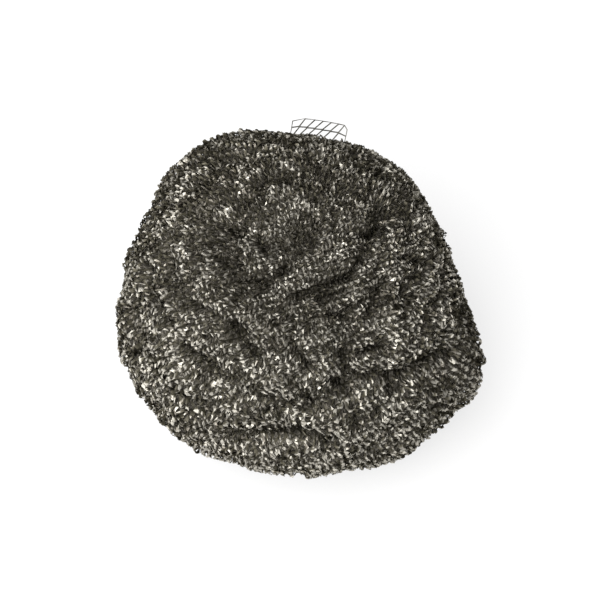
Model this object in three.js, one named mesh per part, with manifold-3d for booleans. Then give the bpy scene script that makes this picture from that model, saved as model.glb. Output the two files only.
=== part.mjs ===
// Stainless steel scourer ball: one long sleeve of knitted flat wire, wound round and
// tucked into itself until it is a springy ball. It is one piece of wire from end to end,
// so it is one solid: the wound folds, the open diamonds of the knit in relief, the tuck in
// the top, the flat that it has settled on, and one loose loop of mesh with open gaps.
// Millimetres, +Z up, origin in the middle of the flat underside.

import * as THREE from "three";
import { mergeVertices } from "three/addons/utils/BufferGeometryUtils.js";
import { ImprovedNoise } from "three/addons/math/ImprovedNoise.js";
import Module from "manifold-3d";

// Body of the ball, over the crowns of its folds
const ballWidth = 86.6;
const ballDepth = 88.5;
const ballHeight = 75;
const settleDepth = 4; // pressed flat at the underside

// Folds that wind down the ball as one spiral, from the tuck to the underside
const foldPitch = 10.5; // from crease to crease, measured down the side
const foldDepth = 3.4; // a crease below the crowns beside it, where it is deepest
const foldFullness = 0.7; // 1 is a plain sine, and less is a fuller crown with a sharper crease
const steadyShare = 0.5; // of its depth that a crease keeps
const fadingShare = 1.6; // of its depth that comes and goes along it
const creaseWander = 7; // a crease strays this far from an even spiral

// Gathers that cross the folds
const gatherLength = 9;
const gatherDepth = 1.6;

// Knit in relief: wires stand above the open middle of each diamond
const stitchRelief = 1;
const stitchesAcross = 16; // diamonds along each side of the ten big diamonds of the net

// Tuck in the top, where the end of the sleeve is pushed in
const tuckWidth = 13;
const tuckDepth = 3.5;

// Loose loop of mesh that stands off the back shoulder, its foot sunk among the folds
const loopLength = 15;
const loopHeight = 4.2; // above the crowns
const loopFoot = 5;
const loopThickness = 0.6;
const loopWire = 0.6; // strand between two gaps
const loopGapWidth = 1.7;
const loopGapHeight = 1.7;
const loopSlant = 1.1; // the top of a gap lies this far along from its bottom
const loopGaps = 5; // in a row
const loopRows = 2;
const archSides = 16;
const archFullness = 3; // 2 is a plain arch, and more is a flatter top
const loopAzimuth = 80.5; // degrees
const loopColatitude = 63; // degrees

// Deep creases, each from one place to another in degrees of azimuth and elevation
const creaseWidth = 2.3;
const creases = [
  { from: [-52, 27], to: [-26, 17], depth: 4.6 }, // under the corner of the outermost turn
  { from: [-80, 56], to: [-58, 55], depth: 3.2 },
  { from: [-67, 42], to: [-49, 39], depth: 3.4 },
  { from: [-110, 11], to: [-89, 17], depth: 3.2 },
  { from: [-84, 17], to: [-77, 10], depth: 3 },
  { from: [-71, 35], to: [-58, 32], depth: 2.8 },
  { from: [-121, 50], to: [-107, 46], depth: 3 },
  { from: [-20, 65], to: [22, 55], depth: 3.2 },
  { from: [-29, 45], to: [-6, 43], depth: 3.4 },
  { from: [-45, 52], to: [-28, 55], depth: 2.8 },
  { from: [-85, 65], to: [-45, 67], depth: 2.6 },
  { from: [171, 74], to: [213, 79], depth: 2.8 },
  { from: [-136, 36], to: [-121, 37], depth: 2.6 },
  { from: [-139, 43], to: [-120, 54], depth: 2 },
  { from: [-114, 67], to: [-100, 74], depth: 2.4 },
  { from: [162, 61], to: [180, 72], depth: 2.2 },
  { from: [70, 35], to: [108, 40], depth: 2.8 },
  { from: [140, 12], to: [172, 20], depth: 3 },
  { from: [30, -8], to: [62, 2], depth: 3 },
  { from: [-104, 83], to: [-10, 82], depth: 2 },
];

// Places where the ball is fuller or flatter than an even round, with the reach of each
const lumps = [
  { azimuth: -20, elevation: -10, rise: 6.6, reach: 11 }, // corner of the outermost turn
  { azimuth: -40, elevation: -20, rise: 2.8, reach: 14 },
  { azimuth: 14, elevation: 10, rise: -2.2, reach: 14 },
  { azimuth: 120, elevation: 26, rise: 3, reach: 14 },
  { azimuth: -95, elevation: -25, rise: -1.4, reach: 15 },
  { azimuth: 230, elevation: -22, rise: 1.2, reach: 12 },
  { azimuth: -120, elevation: -28, rise: -2.2, reach: 13 },
  { azimuth: -56, elevation: -26, rise: 1, reach: 10 },
  { azimuth: 171, elevation: 5, rise: -1.1, reach: 12 },
  { azimuth: 29, elevation: 16, rise: -0.9, reach: 12 },
];

const noise = new ImprovedNoise();
const wanderWaves = 1.7; // waves of stray along the radius of the ball
const depthWaves = 2.6; // deep and shallow stretches of a crease
const wanderSeed = 4.7;
const depthSeed = 11.3;
const gatherSeed = 23.9;

const sideLength = (Math.PI / 4) * (ballWidth + ballHeight); // down the side, top to bottom
const foldCount = Math.round(sideLength / foldPitch);
const floorLevel = settleDepth - ballHeight / 2;

function directionAt(colatitude, azimuth) {
  const out = Math.sin(colatitude);
  return new THREE.Vector3(out * Math.cos(azimuth), out * Math.sin(azimuth), Math.cos(colatitude));
}

function roundPoint(direction) {
  return new THREE.Vector3(ballWidth / 2, ballDepth / 2, ballHeight / 2).multiply(direction);
}

function roundNormal(direction) {
  return new THREE.Vector3(
    direction.x / ballWidth,
    direction.y / ballDepth,
    direction.z / ballHeight,
  ).normalize();
}

function crumple(direction, waves, seed) {
  return noise.noise(direction.x * waves + seed, direction.y * waves - seed, direction.z * waves + 2 * seed);
}

function placeAt(azimuth, elevation) {
  const colatitude = THREE.MathUtils.degToRad(90 - elevation);
  return roundPoint(directionAt(colatitude, THREE.MathUtils.degToRad(azimuth)));
}

function lumpHeight(point) {
  return lumps.reduce((height, { azimuth, elevation, rise, reach }) => {
    const away = point.distanceTo(placeAt(azimuth, elevation));
    return height + rise * Math.exp(-((away / reach) ** 2));
  }, 0);
}

function creaseHeight(point) {
  const nearest = new THREE.Vector3();
  return creases.reduce((height, { from, to, depth }) => {
    new THREE.Line3(placeAt(...from), placeAt(...to)).closestPointToPoint(point, true, nearest);
    const away = point.distanceTo(nearest.setLength(point.length()));
    return height - depth * Math.exp(-((away / creaseWidth) ** 2));
  }, 0);
}

function tuckHeight(point) {
  const fromMiddle = Math.hypot(point.x, point.y) / (tuckWidth / 2);
  return point.z > 0 ? -tuckDepth * Math.exp(-(fromMiddle ** 2)) : 0;
}

// 0 on the crown of a fold and -1 in the crease; across runs from one crease to the next
function foldSection(across) {
  return Math.sin(Math.PI * across) ** foldFullness - 1;
}

// A point of the wound sleeve. The creases run down the ball as one spiral, which strays
// and dies away at the tuck and at the underside.
function woundPoint(even, relief) {
  const { smoothstep, clamp } = THREE.MathUtils;
  const turn = (foldCount * Math.acos(even.z)) / Math.PI;
  const azimuth = Math.atan2(even.y, even.x);
  const body = smoothstep(turn, 0, 1) * smoothstep(foldCount - turn, 0, 1);
  const stray = (creaseWander / foldPitch) * crumple(even, wanderWaves, wanderSeed);
  const wound = turn - azimuth / (2 * Math.PI) + stray;
  const across = wound - Math.floor(wound);
  const point = roundPoint(even);

  const fading = fadingShare * crumple(even, depthWaves, depthSeed);
  const deep = foldDepth * clamp(steadyShare + fading, 0, 1);
  const gather = gatherDepth * crumple(even, ballWidth / gatherLength / 2, gatherSeed);
  const dents = lumpHeight(point) + creaseHeight(point) + tuckHeight(point);
  const height = dents + relief + gather + body * deep * foldSection(across);
  point.addScaledVector(roundNormal(even), height);
  point.z = Math.max(point.z, floorLevel);
  return point;
}

// Corners of the ten big diamonds that cover the ball: five round the top, five round the
// underside, on the twelve points of an icosahedron
function bigDiamonds() {
  const top = new THREE.Vector3(0, 0, 1);
  const under = new THREE.Vector3(0, 0, -1);
  const ringColatitude = Math.atan(2);
  const upper = (i) => directionAt(ringColatitude, (2 * Math.PI * (i % 5)) / 5);
  const lower = (i) => directionAt(Math.PI - ringColatitude, (2 * Math.PI * ((i % 5) + 0.5)) / 5);
  return [0, 1, 2, 3, 4].flatMap((i) => [
    [top, upper(i), lower(i), upper(i + 1)],
    [upper(i + 1), lower(i), under, lower(i + 1)],
  ]);
}

// The ball's closed skin, a net of small diamonds whose middles are sunk between the wires
function ballGeometry() {
  const positions = [];
  for (const [near, right, far, left] of bigDiamonds()) {
    const directionIn = (u, v) => {
      const corner = u + v < 1 ? near : far;
      const [along, across] = u + v < 1 ? [u, v] : [1 - v, 1 - u];
      return corner
        .clone()
        .multiplyScalar(1 - along - across)
        .addScaledVector(right, along)
        .addScaledVector(left, across)
        .normalize();
    };
    for (let row = 0; row < stitchesAcross; row++) {
      for (let column = 0; column < stitchesAcross; column++) {
        const at = (u, v) => directionIn((row + u) / stitchesAcross, (column + v) / stitchesAcross);
        const middle = woundPoint(at(0.5, 0.5), -stitchRelief);
        const wires = [at(0, 0), at(1, 0), at(1, 1), at(0, 1)].map((corner) => woundPoint(corner, 0));
        wires.forEach((wire, i) => positions.push(...middle, ...wire, ...wires[(i + 1) % 4]));
      }
    }
  }
  const geometry = new THREE.BufferGeometry();
  geometry.setAttribute("position", new THREE.Float32BufferAttribute(positions, 3));
  return geometry;
}

// Outline of the loose loop, a low arch, with rows of slanting gaps that follow its top
function loopShape() {
  const half = loopLength / 2;
  const archAt = (x, below) => loopHeight * (1 - Math.abs(x / half) ** archFullness) - below;
  const shape = new THREE.Shape();
  shape.moveTo(-half, -loopFoot);
  shape.lineTo(half, -loopFoot);
  for (let i = 0; i <= archSides; i++) {
    const x = half - (loopLength * i) / archSides;
    shape.lineTo(x, archAt(x, 0));
  }
  const step = loopGapWidth + loopWire;
  const start = -(loopGaps * step - loopWire + loopSlant) / 2;
  for (let row = 0; row < loopRows; row++) {
    const above = loopWire + row * (loopGapHeight + loopWire);
    for (let gap = 0; gap < loopGaps; gap++) {
      const low = start + gap * step;
      const high = low + loopSlant;
      const corner = (x, below) => new THREE.Vector2(x, archAt(x, below));
      shape.holes.push(
        new THREE.Path([
          corner(low, above + loopGapHeight),
          corner(high, above),
          corner(high + loopGapWidth, above),
          corner(low + loopGapWidth, above + loopGapHeight),
        ]),
      );
    }
  }
  return shape;
}

// The loop stood on the shoulder of the ball, its length round the ball
function loopGeometry() {
  const geometry = new THREE.ExtrudeGeometry(loopShape(), {
    depth: loopThickness,
    bevelEnabled: false,
  });
  geometry.translate(0, 0, -loopThickness / 2);
  const azimuth = THREE.MathUtils.degToRad(loopAzimuth);
  const direction = directionAt(THREE.MathUtils.degToRad(loopColatitude), azimuth);
  const up = roundNormal(direction);
  const along = new THREE.Vector3(Math.sin(azimuth), -Math.cos(azimuth), 0);
  const seat = roundPoint(direction);
  seat.addScaledVector(up, lumpHeight(seat));
  const frame = new THREE.Matrix4().makeBasis(along, up, along.clone().cross(up));
  return geometry.applyMatrix4(frame.setPosition(seat));
}

const wasm = await Module();
wasm.setup();

function solidOf(geometry) {
  geometry.deleteAttribute("normal");
  geometry.deleteAttribute("uv");
  const merged = mergeVertices(geometry);
  const corners = merged.index.array;
  const triVerts = [];
  for (let i = 0; i < corners.length; i += 3) {
    const [a, b, c] = corners.slice(i, i + 3);
    if (a !== b && b !== c && c !== a) triVerts.push(a, b, c);
  }
  const vertProperties = new Float32Array(merged.attributes.position.array);
  return new wasm.Manifold(
    new wasm.Mesh({ numProp: 3, vertProperties, triVerts: new Uint32Array(triVerts) }),
  );
}

function geometryOf(solid) {
  const { vertProperties, triVerts } = solid.getMesh();
  const geometry = new THREE.BufferGeometry();
  geometry.setAttribute("position", new THREE.BufferAttribute(vertProperties, 3));
  geometry.setIndex(new THREE.BufferAttribute(triVerts, 1));
  return geometry;
}

const geometry = geometryOf(solidOf(ballGeometry()).add(solidOf(loopGeometry())));
geometry.computeBoundingBox();
const middle = geometry.boundingBox.getCenter(new THREE.Vector3());
geometry.translate(-middle.x, -middle.y, -geometry.boundingBox.min.z);
geometry.computeVertexNormals();

const flatWire = new THREE.MeshStandardMaterial({
  color: 0x77736a,
  metalness: 1,
  roughness: 0.35,
  flatShading: true,
});

const ball = new THREE.Mesh(geometry, flatWire);
ball.name = "knitted_wire_ball";

const scourer = new THREE.Group();
scourer.add(ball);

export default scourer;
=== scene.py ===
import math
import bpy
import numpy as np
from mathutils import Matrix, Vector


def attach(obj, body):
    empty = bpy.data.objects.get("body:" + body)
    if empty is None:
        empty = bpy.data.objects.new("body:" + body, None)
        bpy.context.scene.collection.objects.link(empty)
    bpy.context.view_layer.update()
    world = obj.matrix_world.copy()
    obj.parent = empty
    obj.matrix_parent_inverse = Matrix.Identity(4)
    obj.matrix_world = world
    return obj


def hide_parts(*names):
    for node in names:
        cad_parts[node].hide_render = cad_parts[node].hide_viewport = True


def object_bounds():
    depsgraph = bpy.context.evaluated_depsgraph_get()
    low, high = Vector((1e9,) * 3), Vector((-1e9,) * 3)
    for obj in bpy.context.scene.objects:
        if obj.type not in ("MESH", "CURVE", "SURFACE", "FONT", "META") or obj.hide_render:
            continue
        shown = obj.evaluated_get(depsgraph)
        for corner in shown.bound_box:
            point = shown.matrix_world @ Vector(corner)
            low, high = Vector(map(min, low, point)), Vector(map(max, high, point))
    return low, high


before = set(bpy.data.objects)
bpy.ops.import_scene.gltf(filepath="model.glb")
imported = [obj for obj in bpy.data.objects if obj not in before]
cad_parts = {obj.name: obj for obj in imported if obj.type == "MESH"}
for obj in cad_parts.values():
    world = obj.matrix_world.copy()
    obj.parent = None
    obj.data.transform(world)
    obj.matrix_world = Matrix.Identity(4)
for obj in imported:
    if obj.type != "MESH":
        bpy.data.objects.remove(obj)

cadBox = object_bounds()
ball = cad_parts["knitted_wire_ball"]
mm = 0.001
heart = Vector((0, 0, (cadBox[1][2] - cadBox[0][2]) / 2))
roundRadius = 40 * mm    # of an even ball, on which folds and swells are laid out
print("frame loaded")


def deselectAll():
    if bpy.context.object and bpy.context.object.mode != "OBJECT":
        bpy.ops.object.mode_set(mode="OBJECT")
    bpy.ops.object.select_all(action="DESELECT")


def toLinear(hexColour):
    parts = [int(hexColour[i:i + 2], 16) / 255 for i in (1, 3, 5)]
    return tuple(p / 12.92 if p < 0.04045 else ((p + 0.055) / 1.055) ** 2.4 for p in parts) + (1,)


def addNode(tree, kind, inputs=None, links=None, **settings):
    node = tree.nodes.new(kind)
    for name, value in settings.items():
        setattr(node, name, value)
    for name, value in (inputs or {}).items():
        node.inputs[name].default_value = value
    for name, socket in (links or {}).items():
        tree.links.new(socket, node.inputs[name])
    return node


def newMaterial(name):
    material = bpy.data.materials.new(name)
    material.use_nodes = True
    material.node_tree.nodes.clear()
    return material, material.node_tree


# camera in front and well above, long lens
cameraView = dict(
    elevation=59,            # degrees above the floor
    lens=100, sensor=36,     # mm
    distance=408 * mm,
    nearest=10 * mm,         # what is closer isn't drawn
    aim=(-0.2 * mm, 0, 35 * mm),
)


def addCamera():
    tilt = math.radians(cameraView["elevation"])
    aim = Vector(cameraView["aim"])
    back = Vector((0, -math.cos(tilt), math.sin(tilt)))
    bpy.ops.object.camera_add(location=aim + back * cameraView["distance"])
    camera = bpy.context.object
    camera.rotation_euler = (math.pi / 2 - tilt, 0, 0)
    camera.data.lens = cameraView["lens"]
    camera.data.sensor_width = cameraView["sensor"]
    camera.data.clip_start = cameraView["nearest"]
    bpy.context.scene.camera = camera


deselectAll()
addCamera()
print("camera set")


def wayOut(down, turn):
    # from the ball's middle, by the angle down from the top and the angle round
    return np.stack([np.sin(down) * np.cos(turn), np.sin(down) * np.sin(turn), np.cos(down)], -1)


def wayAt(turn, up):
    # the same, from degrees round and up
    return wayOut(math.radians(90 - up), math.radians(turn))


def unit(ways):
    return ways / np.linalg.norm(ways, axis=-1)[..., None]


# plane waves that add up to a smooth random swell
waves = dict(count=14, spread=(0.7, 1.4))    # spread of how often they come


def planeWaves(length, seed):
    draw = np.random.default_rng(seed)
    for _ in range(waves["count"]):
        way = unit(draw.normal(size=3))
        often = 2 * math.pi / length * draw.uniform(*waves["spread"])
        yield way, often, draw.uniform(0, 2 * math.pi)


def crumple(points, length, seed):
    # mostly within -1 and 1; length is from crest to crest
    total = sum(np.sin(points @ way * often + start) for way, often, start in planeWaves(length, seed))
    return total / math.sqrt(waves["count"])


def swirl(points, length, seed):
    # slope of such a swell: what moves across the slope turns without crowding
    total = np.zeros(points.shape)
    for way, often, start in planeWaves(length, seed):
        total += np.cos(points @ way * often + start)[:, None] * way
    return total / math.sqrt(waves["count"])


# the ball's skin, measured from its middle: one radius for each step down and round
skinMap = dict(
    rows=181, columns=360,
    around=range(-8, 9, 4),  # steps to the places that it is compared with
    loopRoom=1.5 * mm,       # what stands further off those is the loose loop
    blur=8,                  # steps, enough to level the sunk stitches
    knitFill=0.4 * mm,       # brings the levelled skin back up towards its wires
)


def blurred(grid, steps):
    for _ in range(steps):
        ends = np.pad(grid, ((1, 1), (0, 0)), "edge")
        grid = (ends[:-2] + 2 * ends[1:-1] + ends[2:]) / 4
        grid = (np.roll(grid, 1, 1) + 2 * grid + np.roll(grid, -1, 1)) / 4
    return grid


def finer(grid):
    # a value between each two, down and round
    grid = np.repeat(grid, 2, 0)[:-1]
    grid[1::2] = (grid[:-1:2] + grid[2::2]) / 2
    grid = np.repeat(grid, 2, 1)
    grid[:, 1::2] = (grid[:, ::2] + np.roll(grid[:, ::2], -1, 1)) / 2
    return grid


def readMap(grid, down, turn):
    rows, columns = grid.shape
    y = np.clip(down / math.pi, 0, 1) * (rows - 1)
    x = (turn / (2 * math.pi)) % 1 * columns
    i = np.minimum(y.astype(int), rows - 2)
    j = x.astype(int) % columns
    k = (j + 1) % columns
    v, u = y - i, x - np.floor(x)
    upper = grid[i, j] * (1 - u) + grid[i, k] * u
    lower = grid[i + 1, j] * (1 - u) + grid[i + 1, k] * u
    return upper * (1 - v) + lower * v


def measureSkin():
    down = np.linspace(0, math.pi, skinMap["rows"])
    turn = np.arange(skinMap["columns"]) * 2 * math.pi / skinMap["columns"]
    way = wayOut(*np.meshgrid(down, turn, indexing="ij"))
    radius = np.array([[(ball.ray_cast(heart, Vector(w))[1] - heart).length for w in line] for line in way])
    around = [np.roll(radius, (a, b), (0, 1)) for a in skinMap["around"] for b in skinMap["around"]]
    radius = np.minimum(radius, np.median(around, 0) + skinMap["loopRoom"])
    radius = blurred(radius, skinMap["blur"]) + skinMap["knitFill"]
    return finer(way), finer(radius[..., None])[..., 0]


bareWay, bareSkin = measureSkin()
print("skin measured", round(float(bareSkin.min() / mm), 1), "to", round(float(bareSkin.max() / mm), 1), "mm")

# short folds of the crumpled sleeve, lying round the ball
folds = dict(
    seed=119,
    apart=5 * mm,            # down the ball
    strayDown=0.45, strayRound=0.25,    # from an even layout, as shares of a step
    firstRow=0.6, lastRow=0.4,          # steps from the top and from the underside
    length=9 * mm, width=0.8 * mm,
    halves=(0.3, 0.7),       # a fold ends this far from its middle, as shares of that length
    shallow=0.6 * mm, deep=1.6 * mm,
    lean=36,                 # degrees off the level
    bow=0.015 / mm,
    lip=0.35,                # rise beside a fold, as a share of its depth
    lipPlace=2.2, lipWidth=1.4,         # as shares of its width
    room=1.3,                # what is worked out, as a share of its half length
)


def shortFold(way, down, turn, draw):
    # one valley with a lip above it, nothing further off
    reach = folds["length"] * draw.uniform(*folds["halves"])
    depth = draw.uniform(folds["shallow"], folds["deep"])
    lean = math.radians(folds["lean"]) * draw.normal()
    bow = folds["bow"] * draw.normal()
    middle = wayOut(down, turn)
    level = np.array([-math.sin(turn), math.cos(turn), 0])
    along = level * math.cos(lean) + np.cross(middle, level) * math.sin(lean)
    near = way @ middle > math.cos(folds["room"] * reach / roundRadius)
    u = way[near] @ along * roundRadius
    v = (way[near] @ np.cross(middle, along) * roundRadius + bow * u ** 2) / folds["width"]
    lip = folds["lip"] * np.exp(-((v - folds["lipPlace"]) / folds["lipWidth"]) ** 2)
    return near, depth * (np.exp(-v ** 2) - lip) * np.clip(1 - (u / reach) ** 2, 0, 1)


def foldSkin(way, radius):
    draw = np.random.default_rng(folds["seed"])
    step = folds["apart"] / roundRadius
    for row in np.arange(folds["firstRow"] * step, math.pi - folds["lastRow"] * step, step):
        count = max(1, round(2 * math.pi * roundRadius * math.sin(row) / folds["length"]))
        first = draw.uniform(0, 2 * math.pi)
        for k in range(count):
            down = row + step * draw.uniform(-folds["strayDown"], folds["strayDown"])
            stray = draw.uniform(-folds["strayRound"], folds["strayRound"])
            near, dent = shortFold(way, down, first + 2 * math.pi * (k + stray) / count, draw)
            radius[near] -= dent
    return radius


# the deep creases one by one, where the solid has them, and the last one across the top
creases = dict(
    width=1.3 * mm,
    points=12,               # along each
    middle=(-2.4 * mm, -0.5 * mm, 33.5 * mm),       # of the round form that they are placed on
    halfSizes=(43.3 * mm, 44.25 * mm, 37.5 * mm),
    lines=[                  # from and to, in degrees round and up, and depth added in mm
        ((-52, 27), (-26, 17), 0.8), ((-80, 56), (-58, 55), 0.2), ((-67, 42), (-49, 39), 0.6),
        ((-110, 11), (-89, 17), 0.7), ((-84, 17), (-77, 10), 0.6), ((-71, 35), (-58, 32), 0.3),
        ((-121, 50), (-107, 46), 0.6), ((-20, 65), (22, 55), 0.6), ((-29, 45), (-6, 43), 0.6),
        ((-45, 52), (-28, 55), 0.5), ((-85, 65), (-45, 67), 0.4), ((171, 74), (213, 79), 0.4),
        ((-136, 36), (-121, 37), 0.4), ((-139, 43), (-120, 54), 0.4), ((-114, 67), (-100, 74), 0.4),
        ((162, 61), (180, 72), 0.4), ((70, 35), (108, 40), 0.5), ((140, 12), (172, 20), 0.5),
        ((30, -8), (62, 2), 0.5), ((-104, 83), (-10, 82), 0.4), ((160, 86), (-20, 84), 0.5),
    ],
)


def creaseSkin(way, radius):
    bend = np.linspace(0, 1, creases["points"])[:, None]
    for start, finish, depth in creases["lines"]:
        line = unit(wayAt(*start) * (1 - bend) + wayAt(*finish) * bend)
        line = unit(line * creases["halfSizes"] + creases["middle"] - np.array(heart))
        away = np.min([np.linalg.norm(way - p, axis=-1) for p in line], 0) * roundRadius
        radius -= depth * mm * np.exp(-(away / creases["width"]) ** 2)
    return radius


skin = creaseSkin(bareWay, foldSkin(bareWay, bareSkin.copy()))
print("skin folded", round(float(skin.min() / mm), 1), "to", round(float(skin.max() / mm), 1), "mm")

# painted shade on the wire: darker in the folds and over some listed spots, broken into patches
wearAndShade = dict(
    foldDepth=0.95 * mm,     # a fold this far below its surroundings gets full painted shade
    reach=80,                # steps of blur that give the surroundings
    patch=9 * mm, cover=0.6, # size of the patches, and how much of a shaded spot they take
    shadeSpots=[              # painted shade: degrees round and up, how wide, how much
        (90, 72, 0.14, 0.48), (-18, 8, 0.08, 0.27), (25, 38, 0.08, 0.3), (178, 15, 0.08, 0.3),
        (-140, -8, 0.06, 0.3), (150, 46, 0.1, 0.45), (95, 46, 0.06, 0.15), (-165, 42, 0.06, 0.3),
    ],
)


def rubAndShadeSkin():
    # painted shade in the folds: the deeper below the blurred surroundings, the darker
    bright = 1 - np.clip((blurred(skin, wearAndShade["reach"]) - skin) / wearAndShade["foldDepth"], 0, 1)
    patchy = np.clip(wearAndShade["cover"] + crumple(bareWay * roundRadius, wearAndShade["patch"], folds["seed"]), 0, 1)
    # painted shade over each listed spot
    for turn, up, wide, much in wearAndShade["shadeSpots"]:
        bright *= 1 - much * patchy * np.exp((bareWay @ wayAt(turn, up) - 1) / wide)
    return bright


wearAndShadeMap = rubAndShadeSkin()
print("skin rubbed")

# one stitch of the knit, lying flat: a flat wire that goes up, over and down
stitch = dict(
    width=2.55 * mm,         # along the row
    course=1.52 * mm,        # from row to row
    height=1.7 * mm,         # of the loop, so it hooks into the next row
    neck=0.02,               # how far the loop closes at its neck
    dip=0.44 * mm,           # the wire passes under and over its neighbours
    kink=0.15 * mm, kinkLength=0.9 * mm,    # crimped wire, bent a little at every step
    wireWidth=0.74 * mm,
    edgeOn=0.4,              # of that width in the legs, where the wire turns on edge
    wireCrown=0.05 * mm,
    steps=8,
    legWearAndShade=0.22, headWearAndGlint=0.96, wearAndGlintFade=6,    # bright at the head and the feet from rubbing and as painted highlight, dark in the sunk legs as painted shade
    smoothAngle=8,           # degrees
    mapAngle=1.15, mapMargin=0.02,
    weld=0.02 * mm,          # ends this close are one
)


def stitchPath():
    # starting half a step late gives a flat step at the head and the foot
    t = np.linspace(0, 1, stitch["steps"] + 1) + 0.5 / stitch["steps"]
    x = stitch["width"] * (t + stitch["neck"] * np.sin(4 * math.pi * t))
    y = -stitch["height"] / 2 * np.cos(2 * math.pi * t)
    z = stitch["dip"] * np.cos(4 * math.pi * t)
    slopeX = stitch["width"] * (1 + 4 * math.pi * stitch["neck"] * np.cos(4 * math.pi * t))
    slopeY = stitch["height"] * math.pi * np.sin(2 * math.pi * t)
    return np.stack([x, y, z], 1), np.unwrap(np.arctan2(slopeY, slopeX))


def modelStitch():
    points, heading = stitchPath()
    wide = stitch["edgeOn"] + (1 - stitch["edgeOn"]) * np.abs(2 * points[:, 1] / stitch["height"])
    corners = 3
    deselectAll()
    bpy.ops.mesh.primitive_circle_add(vertices=corners, radius=1, rotation=(math.pi / 2, 0, math.pi / 2))
    wire = bpy.context.object
    # a triangle in a circle of 1 is the root of 3 wide and 1.5 high
    wire.scale = (stitch["wireWidth"] * wide[0] / math.sqrt(3), stitch["wireCrown"] / 1.5, 1)
    wire.location = points[0]
    bpy.ops.object.transform_apply(location=True, rotation=True, scale=True)
    bpy.ops.object.mode_set(mode="EDIT")
    bpy.ops.mesh.select_all(action="SELECT")
    for i in range(1, len(points)):
        step = points[i] - points[i - 1]
        bpy.ops.mesh.extrude_region_move(TRANSFORM_OT_translate={"value": tuple(step)})
        bpy.ops.transform.rotate(value=heading[i - 1] - heading[i], orient_axis="Z",
                                 center_override=tuple(points[i]))  # with no window it turns the other way
        thinner = wide[i] / wide[i - 1]
        bpy.ops.transform.resize(value=(thinner, thinner, 1), center_override=tuple(points[i]))
    bpy.ops.mesh.select_all(action="SELECT")
    bpy.ops.uv.smart_project(angle_limit=stitch["mapAngle"], island_margin=stitch["mapMargin"],
                             scale_to_bounds=True)
    bpy.ops.object.mode_set(mode="OBJECT")
    wire.data.uv_layers[0].name = "OFBake"
    # shade of the wire along the stitch: high at the head and feet from rubbing and painted highlight, low in
    # the sunk legs as painted shade
    wornAndPaintedLight = wire.data.attributes.new("wornAndPaintedLight", "FLOAT", "POINT")
    rubsAndGlints = np.abs(points[:, 1]) / np.abs(points[:, 1]).max()
    for i, spot in enumerate(wornAndPaintedLight.data):
        spot.value = stitch["legWearAndShade"] + stitch["headWearAndGlint"] * rubsAndGlints[i // corners] ** stitch["wearAndGlintFade"]
    wire.name = "stitch"
    return wire


oneStitch = modelStitch()
print("stitch modelled,", len(oneStitch.data.polygons), "faces")

# how uneven the rubbing and painted light are, and where each shade of the wire lies between its darkest,
# unrubbed and in painted shade, and its brightest, from rubbing and painted highlight
wireFinish = dict(
    patches=6 * mm, patchShare=0.5,
    spots=2.2 * mm,          # about a stitch, so that some are bright and some dull
    contrast=3, level=-2.3,
    stops=(0, 0.22, 0.75, 0.95),
    glance="#34322c",        # at a flat angle the wire stays dark
)


# rolled stainless wire: straw grey and satin, dark in the legs of a stitch as painted shade, bright on its
# bends from rubbing and painted highlight
def wireMaterial(name, shades, headRough, legRough):
    material, tree = newMaterial(name)
    place = addNode(tree, "ShaderNodeTexCoord").outputs["Object"]
    wornAndPaintedLight = addNode(tree, "ShaderNodeAttribute", attribute_name="wornAndPaintedLight").outputs["Fac"]
    patches = addNode(tree, "ShaderNodeTexNoise", {"Scale": 1 / wireFinish["patches"], "Detail": 2},
                      {"Vector": place})
    spots = addNode(tree, "ShaderNodeTexNoise", {"Scale": 1 / wireFinish["spots"], "Detail": 1},
                    {"Vector": place})
    both = addNode(tree, "ShaderNodeMath", {1: wireFinish["patchShare"]}, operation="MULTIPLY_ADD",
                   links={0: patches.outputs["Fac"], 2: spots.outputs["Fac"]})
    uneven = addNode(tree, "ShaderNodeMath", {1: wireFinish["contrast"], 2: wireFinish["level"]},
                     {0: both.outputs[0]}, operation="MULTIPLY_ADD")
    # the painted light and shade of each stitch, made uneven at random
    rubbedAndLit = addNode(tree, "ShaderNodeMath", operation="MULTIPLY_ADD",
                     links={0: wornAndPaintedLight, 1: uneven.outputs[0], 2: wornAndPaintedLight})
    shade = addNode(tree, "ShaderNodeValToRGB", links={"Fac": rubbedAndLit.outputs[0]})
    stops = shade.color_ramp.elements
    stops.remove(stops[-1])
    for spot, hexColour in zip(wireFinish["stops"], shades):
        stop = stops.new(spot) if spot else stops[0]
        stop.color = toLinear(hexColour)
    gloss = addNode(tree, "ShaderNodeMapRange", {"To Min": legRough, "To Max": headRough},
                    {"Value": rubbedAndLit.outputs[0]})
    steel = addNode(tree, "ShaderNodeBsdfPrincipled",
                    {"Metallic": 1, "Specular Tint": toLinear(wireFinish["glance"])},
                    {"Base Color": shade.outputs["Color"], "Roughness": gloss.outputs[0]})
    addNode(tree, "ShaderNodeOutputMaterial", links={"Surface": steel.outputs[0]})
    return material


# the same wire in three shades: the loose loop's copy is painted lighter so its strands read lit, and the
# inside copy is painted lighter to lift the shade between the outer stitches
outerWire = wireMaterial("rolled_stainless_wire", ("#2c2a22", "#423f35", "#666256", "#b8b4aa"),
                         headRough=0.62, legRough=0.6)
looseWire = wireMaterial("rolled_stainless_wire_loose", ("#74726c", "#898781", "#9b9993", "#adaba5"),
                         headRough=0.6, legRough=0.7)
innerWire = wireMaterial("rolled_stainless_wire_inside", ("#33302a", "#6e6a61", "#857f75", "#bfbbb0"),
                         headRough=0.5, legRough=0.6)

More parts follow.
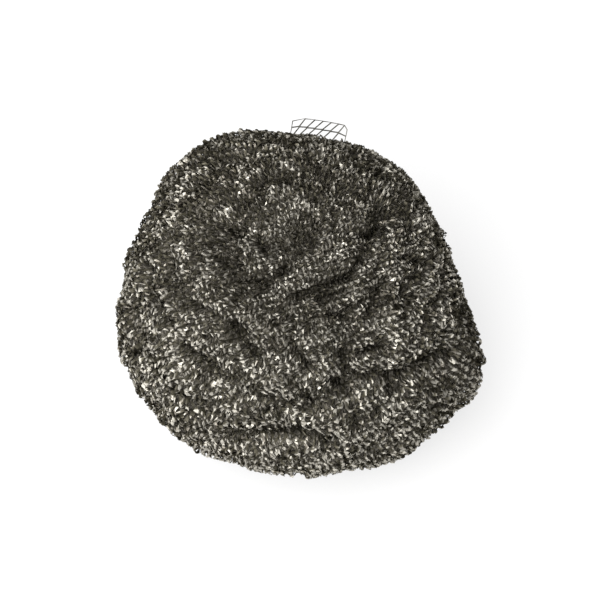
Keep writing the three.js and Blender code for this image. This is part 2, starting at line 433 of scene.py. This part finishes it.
# two wound layers of the knit, each a strip that spirals about its own axis, in three lengths
winding = dict(
    turns=12,                # from one end of the axis to the other
    first=0.1,               # where the strip starts and ends, in turns from either end
    pathPoints=4000,
    cells=18,                # blocks of stitches along a length, for its map
    stagger=0.08,            # of a stitch, from row to row
    swirlSteps=4,            # the strip is pushed about in small steps
    swirls=((9 * mm, 0.9 * mm), (3.6 * mm, 0.36 * mm), (1.6 * mm, 0.29 * mm)),  # length and push
    swirlSeed=1,             # these two are added to the layer's own seed
    swellSeed=7,
    swells=((5 * mm, 1), (2.6 * mm, 0.7)),                                      # length and share
    floorGap=0.8 * mm,       # the underside is pressed flat
)
layers = [
    dict(name="outer_knit", sink=0.1 * mm, axis=(20, 25), hand=1, seed=11, swell=0.22 * mm, scale=1,
         lengths=3, material=outerWire),
    dict(name="inner_knit", sink=0.7 * mm, axis=(110, 8), hand=-1, seed=23, swell=0.3 * mm, scale=1.05,
         lengths=3, material=innerWire),
]


def windingPath(layer):
    # the middle line of the strip: steps round the ball, down it, and its length so far
    turns = np.linspace(winding["first"], winding["turns"] - winding["first"], winding["pathPoints"])
    down = math.pi * turns / winding["turns"]
    turn = 2 * math.pi * (turns - winding["first"]) * layer["hand"] + layer["seed"]
    side = skin.mean() * np.sin(down) * np.abs(np.gradient(turn))
    drop = skin.mean() * np.gradient(down)
    return turn, down, np.cumsum(np.hypot(side, drop))


def windingFrame(layer):
    # the axis that the strip winds about, and two ways across it
    turn, up = layer["axis"]
    axis = wayAt(turn, up)
    level = wayAt(turn + 90, 0)
    return np.stack([np.cross(level, axis), level, axis], 1)


def flatStrip(columns, rows):
    # the stitch repeated along and across, lying flat
    blocks = winding["cells"]
    perBlock = math.ceil(columns / blocks)
    deselectAll()
    oneStitch.select_set(True)
    bpy.context.view_layer.objects.active = oneStitch
    bpy.ops.object.duplicate()
    strip = bpy.context.object
    cell = (1 / perBlock, 1 / (blocks * rows))
    for corner in strip.data.uv_layers["OFBake"].data:
        corner.uv = (corner.uv[0] * cell[0], corner.uv[1] * cell[1])
    wide = stitch["width"]
    rowStep = (wide * winding["stagger"], stitch["course"], 0)
    repeats = [
        dict(count=perBlock, step=(wide, 0, 0), map=(cell[0], 0), join=True),
        dict(count=blocks, step=(wide * perBlock, 0, 0), map=(0, cell[1]), join=True),
        dict(count=rows, step=rowStep, map=(0, cell[1] * blocks), join=False),
    ]
    for repeat in repeats:
        array = strip.modifiers.new("repeat", "ARRAY")
        array.count = repeat["count"]
        array.use_relative_offset = False
        array.use_constant_offset = True
        array.constant_offset_displace = repeat["step"]
        array.offset_u, array.offset_v = repeat["map"]
        array.use_merge_vertices = repeat["join"]
        array.merge_threshold = stitch["weld"]
        bpy.ops.object.modifier_apply(modifier=array.name)
    bpy.ops.object.mode_set(mode="EDIT")
    bpy.ops.mesh.select_all(action="SELECT")
    bpy.ops.mesh.fill_holes(sides=3)        # the two ends of each row
    bpy.ops.mesh.normals_make_consistent(inside=False)
    bpy.ops.object.mode_set(mode="OBJECT")
    return strip, perBlock * blocks


def swirled(way, seed):
    for _ in range(winding["swirlSteps"]):
        slope = np.zeros(way.shape)
        for i, (length, push) in enumerate(winding["swirls"]):
            slope += push * swirl(way * roundRadius, length, seed + winding["swirlSeed"] + i)
        way = unit(way + np.cross(way, slope) / roundRadius / winding["swirlSteps"])
    return way


def wrapStrip(strip, layer, path, rows, start, stretch):
    # x runs along the winding, y up across it, z out of the ball
    mesh = strip.data
    flat = np.empty(len(mesh.vertices) * 3)
    mesh.vertices.foreach_get("co", flat)
    flat = flat.reshape(-1, 3)
    seed = layer["seed"]
    flat[:, 2] += stitch["kink"] * crumple(flat, stitch["kinkLength"], seed)
    turn, down, along = path
    at = np.clip(start + flat[:, 0] * stretch, 0, along[-1])
    across = (flat[:, 1] / stitch["course"] + 0.5) / rows - 0.5
    around = np.interp(at, along, turn)
    lower = np.interp(at, along, down) - layer["hand"] * across * math.pi / winding["turns"]
    way = swirled(wayOut(lower, around) @ windingFrame(layer).T, seed)
    lower = np.arccos(np.clip(way[:, 2], -1, 1))
    around = np.arctan2(way[:, 1], way[:, 0])
    # the painted shade of the folds and spots is laid over each stitch's own shade
    wornAndPaintedLight = np.empty(len(flat))
    mesh.attributes["wornAndPaintedLight"].data.foreach_get("value", wornAndPaintedLight)
    mesh.attributes["wornAndPaintedLight"].data.foreach_set("value", wornAndPaintedLight * readMap(wearAndShadeMap, lower, around))
    swell = sum(share * crumple(way * roundRadius, length, seed + winding["swellSeed"] + i)
                for i, (length, share) in enumerate(winding["swells"]))
    lift = flat[:, 2] * layer["scale"]
    radius = readMap(skin, lower, around) - layer["sink"] + layer["swell"] * swell + lift
    points = np.array(heart) + way * radius[:, None]
    gap = winding["floorGap"]
    low = points[:, 2] < gap
    points[low, 2] = gap * np.exp(points[low, 2] / gap - 1)     # never below the floor
    mesh.vertices.foreach_set("co", points.ravel())
    mesh.update()


def windLayer(layer):
    path = windingPath(layer)
    length = path[2][-1] / layer["lengths"]
    columns = round(length / stitch["width"] / layer["scale"])
    pitch = math.pi / winding["turns"] * skin.mean()
    rows = round(pitch / stitch["course"] / layer["scale"])
    for part in range(layer["lengths"]):
        strip, made = flatStrip(columns, rows)
        wrapStrip(strip, layer, path, rows, part * length, length / (made * stitch["width"]))
        deselectAll()
        strip.select_set(True)
        bpy.context.view_layer.objects.active = strip
        bpy.ops.object.shade_smooth_by_angle(angle=math.radians(stitch["smoothAngle"]))
        strip.name = layer["name"] + "_" + str(part + 1)
        strip.data.name = strip.name
        strip.data.materials.clear()
        strip.data.materials.append(layer["material"])
        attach(strip, "root")
        print(strip.name, len(strip.data.polygons), "faces")


for layer in layers:
    windLayer(layer)
bpy.data.objects.remove(oneStitch)
print("knit wound")

# what fills the ball under the knit: the same wire, seen only through the stitches
inside = dict(
    rings=72, segments=128,
    sink=1.9 * mm,
    swell=0.8 * mm, swellLength=6 * mm, seed=5,
    # painted shade: the darker colour fills the gaps between the lighter threads
    colour="#6a665c", light="#9a958b", rough=0.75,
    mesh=1.1 * mm,           # between threads
    threadEdge=0.05, gapEdge=0.22,      # from a thread's middle, as shares of that
    relief=0.5 * mm, reliefShare=0.8,
)


def fillBall():
    deselectAll()
    bpy.ops.mesh.primitive_uv_sphere_add(segments=inside["segments"], ring_count=inside["rings"], radius=1)
    core = bpy.context.object
    way = unit(np.array([v.co for v in core.data.vertices]))
    down = np.arccos(np.clip(way[:, 2], -1, 1))
    turn = np.arctan2(way[:, 1], way[:, 0])
    swell = inside["swell"] * crumple(way * roundRadius, inside["swellLength"], inside["seed"])
    radius = readMap(skin, down, turn) - inside["sink"] + swell
    points = np.array(heart) + way * radius[:, None]
    points[:, 2] = np.maximum(points[:, 2], winding["floorGap"])
    core.data.vertices.foreach_set("co", points.ravel())
    core.data.update()
    bpy.ops.object.shade_smooth()
    core.name = "wound_inside"
    return core


def insideMaterial():
    # stacked wire deep in the ball: dull grey threads with painted shade in the gaps between them
    material, tree = newMaterial("stacked_wire_deep")
    place = addNode(tree, "ShaderNodeTexCoord").outputs["Object"]
    cells = addNode(tree, "ShaderNodeTexVoronoi", {"Scale": 1 / inside["mesh"]}, {"Vector": place},
                    feature="DISTANCE_TO_EDGE")
    edges = {"From Min": inside["threadEdge"], "From Max": inside["gapEdge"], "To Min": 1, "To Max": 0}
    thread = addNode(tree, "ShaderNodeMapRange", edges, {"Value": cells.outputs["Distance"]})
    colour = addNode(tree, "ShaderNodeMix", {"A": toLinear(inside["colour"]), "B": toLinear(inside["light"])},
                     {"Factor": thread.outputs[0]}, data_type="RGBA")
    bump = addNode(tree, "ShaderNodeBump", {"Strength": inside["reliefShare"], "Distance": inside["relief"]},
                   {"Height": thread.outputs[0]})
    steel = addNode(tree, "ShaderNodeBsdfPrincipled", {"Metallic": 1, "Roughness": inside["rough"]},
                    {"Base Color": colour.outputs["Result"], "Normal": bump.outputs[0]})
    addNode(tree, "ShaderNodeOutputMaterial", links={"Surface": steel.outputs[0]})
    return material


core = fillBall()
core.data.materials.append(insideMaterial())
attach(core, "root")
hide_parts("knitted_wire_ball")
print("inside filled")

# the loose loop of mesh at the back of the top, where the solid has it
looseLoop = dict(
    proud=1.3 * mm,          # what stands this far off the skin is the loop
    behind=30 * mm, above=5 * mm,       # and lies further back and up than this
    columns=7, rows=2,
    longer=1.06, lower=0.82, # than the solid's loop
    shift=-0.4 * mm,
    slant=1,                 # sideways run of a strand for its height
    upright=3,               # how late the slant dies away at the ends
    shoulder=0.25, square=8, # the top drops by this share at its ends, and how late
    bow=0.8 * mm, bowTurns=(5, 2),
    wire=0.52 * mm,
    foot=1.5 * mm,           # sunk among the stitches
)


def loopPlace():
    points = np.array([v.co for v in ball.data.vertices]) - np.array(heart)
    far = np.linalg.norm(points, axis=1)
    down = np.arccos(points[:, 2] / far)
    turn = np.arctan2(points[:, 1], points[:, 0])
    proud = far - readMap(bareSkin, down, turn) > looseLoop["proud"]
    standing = points[proud & (points[:, 1] > looseLoop["behind"]) & (points[:, 2] > looseLoop["above"])]
    middle = standing.mean(0)
    away = standing - middle
    axes = np.linalg.svd(away, full_matrices=False)[2]
    along = axes[0] if axes[0][0] > 0 else -axes[0]
    up = axes[1] if axes[1] @ middle > 0 else -axes[1]
    return middle + np.array(heart), along, up, np.ptp(away @ along), (away @ up).min(), (away @ up).max()


def weaveLoop():
    middle, along, up, length, low, high = loopPlace()
    print("loop is", round(length / mm, 1), "mm long, from", round(low / mm, 1), "to", round(high / mm, 1))
    deselectAll()
    bpy.ops.mesh.primitive_grid_add(x_subdivisions=looseLoop["columns"], y_subdivisions=looseLoop["rows"],
                                    size=1)
    net = bpy.context.object
    out = np.cross(along, up)
    foot = looseLoop["foot"]
    height = high - low
    for v in net.data.vertices:
        x, y = v.co.x, v.co.y + 0.5
        end = abs(2 * x)
        arch = 1 - end ** looseLoop["square"] * looseLoop["shoulder"]
        tall = (height * looseLoop["lower"] + foot) * y * arch
        slant = (y - 0.5) * looseLoop["slant"] * height * (1 - end ** looseLoop["upright"])
        side = x * length * looseLoop["longer"] + looseLoop["shift"] + slant
        bow = looseLoop["bow"] * math.sin(looseLoop["bowTurns"][0] * x + looseLoop["bowTurns"][1] * y)
        v.co = Vector(middle + along * side + up * (low - foot + tall) + out * bow)
    strands = net.modifiers.new("strands", "WIREFRAME")
    strands.thickness = looseLoop["wire"]
    strands.use_even_offset = False
    bpy.ops.object.modifier_apply(modifier=strands.name)
    # the whole loop gets the brightest value, a painted highlight on its strands
    wornAndPaintedLight = net.data.attributes.new("wornAndPaintedLight", "FLOAT", "POINT")
    wornAndPaintedLight.data.foreach_set("value", np.ones(len(net.data.vertices)))
    net.name = "loose_loop"
    return net


net = weaveLoop()
net.data.materials.append(looseWire)
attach(net, "root")
print("loose loop woven")

# pale floor and plain studio light
studio = dict(
    floor="#9c9c9c", floorSize=6, floorRough=0.9, floorShine=0.1,
    lift=0.65,               # brings the floor up to white where it is seen
    world=0.3,
    key=20.5, keySize=1.1, keyPlace=(-0.34, -0.4, 0.86),
)


def layFloor():
    deselectAll()
    bpy.ops.mesh.primitive_plane_add(size=studio["floorSize"])
    floor = bpy.context.object
    floor.name = "floor"
    material, tree = newMaterial("white_floor")
    rays = addNode(tree, "ShaderNodeLightPath")
    seen = addNode(tree, "ShaderNodeMath", operation="MAXIMUM",
                   links={0: rays.outputs["Is Camera Ray"], 1: rays.outputs["Is Glossy Ray"]})
    lift = addNode(tree, "ShaderNodeMath", {1: studio["lift"]}, {0: seen.outputs[0]}, operation="MULTIPLY")
    paper = addNode(tree, "ShaderNodeBsdfPrincipled",
                    {"Base Color": toLinear(studio["floor"]), "Roughness": studio["floorRough"],
                     "Specular IOR Level": studio["floorShine"]})
    glow = addNode(tree, "ShaderNodeEmission", links={"Strength": lift.outputs[0]})
    both = addNode(tree, "ShaderNodeAddShader", links={0: paper.outputs[0], 1: glow.outputs[0]})
    addNode(tree, "ShaderNodeOutputMaterial", links={"Surface": both.outputs[0]})
    floor.data.materials.append(material)


def addLamp(name, place, size, power):
    bpy.ops.object.light_add(type="AREA", location=place)
    lamp = bpy.context.object
    lamp.name = name
    lamp.data.size = size
    lamp.data.energy = power
    lamp.rotation_euler = (heart - Vector(place)).to_track_quat("-Z", "Y").to_euler()


layFloor()
addLamp("key_softbox", studio["keyPlace"], studio["keySize"], studio["key"])
world = bpy.data.worlds.new("studio")
world.use_nodes = True
world.node_tree.nodes["Background"].inputs["Color"].default_value = (1, 1, 1, 1)
world.node_tree.nodes["Background"].inputs["Strength"].default_value = studio["world"]
bpy.context.scene.world = world
bpy.context.scene.view_settings.view_transform = "Standard"
print("studio lit")
